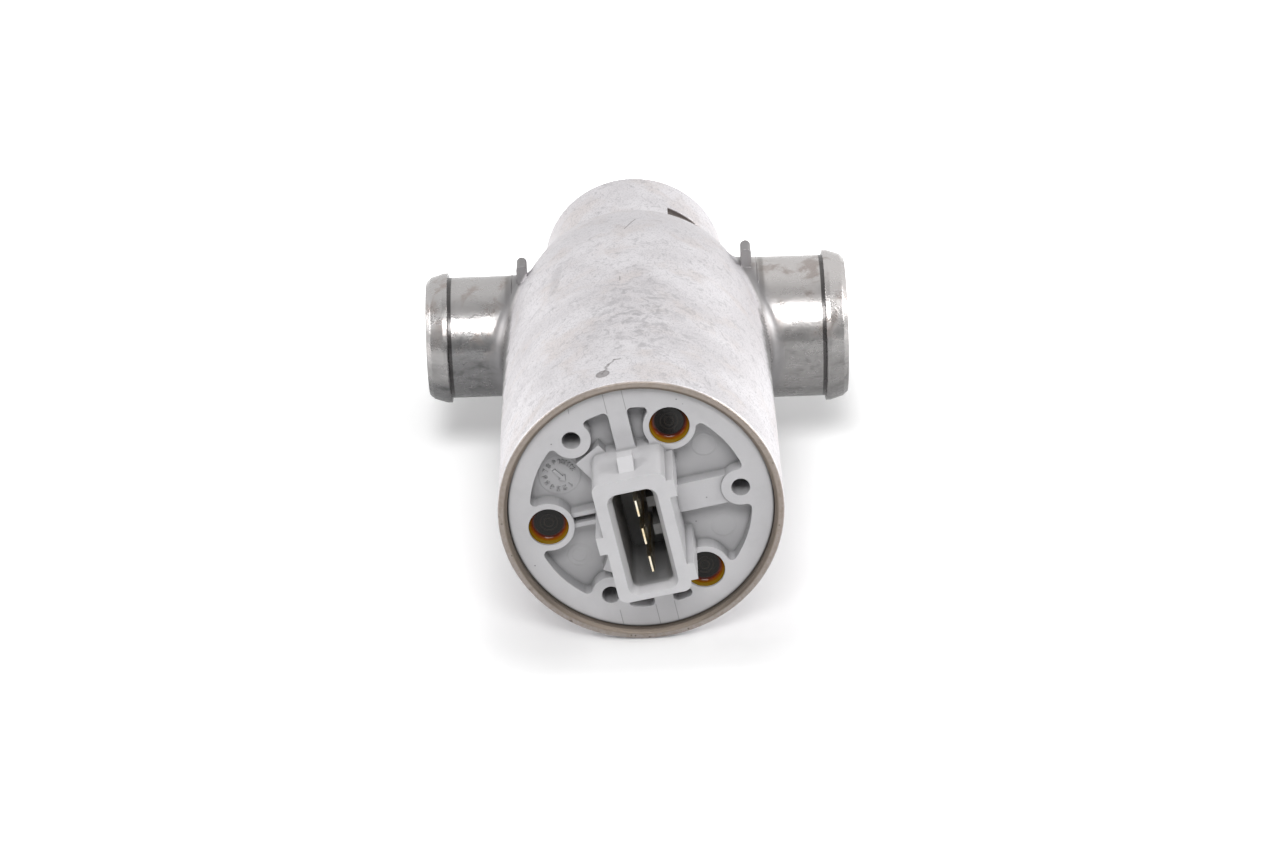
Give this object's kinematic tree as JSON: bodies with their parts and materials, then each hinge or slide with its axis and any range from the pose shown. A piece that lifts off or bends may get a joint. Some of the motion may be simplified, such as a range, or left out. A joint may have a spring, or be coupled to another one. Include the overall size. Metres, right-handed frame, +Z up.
{
  "type": "idle air control valve",
  "caption": "Rotary idle air control valve: cast cylindrical body, two opposed hose stubs, moulded end cover with a pin connector, rotary slide inside.",
  "frame": {"origin": "on the body axis at the middle of the clamp seat, 30 mm behind the rim at the connector end", "axes": "+Y along the body axis from the connector to the rear barrel, +X along the large hose stub, +Z up"},
  "size_m": [0.0733, 0.1142, 0.046],
  "materials": {
    "cast_aluminium": "shot-blasted die casting, cloudy pale grey with a stained machined rim and glossier hose stubs",
    "grey_plastic": "light grey glass-filled moulding with a fine satin face",
    "amber_resin": "glossy clear amber resin over dark screw heads",
    "dark_steel": "dark phosphated steel",
    "bright_steel": "bright ground steel",
    "black_rubber": "black seal rubber",
    "blade_brass": "tinned brass blades",
    "black_plastic": "black moulding",
    "brown_plastic": "brown commutator moulding",
    "carbon": "pressed carbon",
    "ferrite": "dark sintered or stamped iron",
    "copper": "enamelled copper wire and copper bars",
    "slide_bronze": "dull bronze",
    "turned_aluminium": "turned aluminium"
  },
  "bodies": {
    "valve_body": {"housing": "cast_aluminium", "end_cover": "grey_plastic", "cover_seal": "black_rubber", "cover_screws": "dark_steel", "screw_sealant": "amber_resin", "terminal_1": "blade_brass", "terminal_2": "blade_brass", "terminal_3": "blade_brass", "brush_holder": "black_plastic", "brush_1": "carbon", "brush_2": "carbon", "brush_3": "carbon", "brush_springs": "bright_steel", "pole_tube": "bright_steel", "magnet_upper": "ferrite", "magnet_lower": "ferrite", "preload_washer": "bright_steel", "front_bearing_outer": "bright_steel", "front_bearing_balls": "bright_steel", "shaft_seal": "black_rubber", "stop_pin": "bright_steel", "bearing_carrier": "turned_aluminium", "rear_bearing_outer": "bright_steel", "rear_bearing_balls": "bright_steel", "end_cap": "turned_aluminium", "end_cap_seal": "black_rubber", "end_cap_ring": "dark_steel"},
    "rotor": {"shaft": "bright_steel", "armature_core": "ferrite", "winding_upper": "copper", "winding_lower": "copper", "commutator_hub": "brown_plastic", "commutator_bars": "copper", "front_bearing_inner": "bright_steel", "rear_bearing_inner": "bright_steel", "rotary_slide": "slide_bronze", "shaft_clip": "dark_steel"}
  },
  "joints": [
    {"name": "rotor_turn", "type": "hinge", "parent": "valve_body", "child": "rotor", "pos_m": [0, 0, 0], "axis": [0, -1, 0], "range_deg": [-45, 45]}
  ]
}
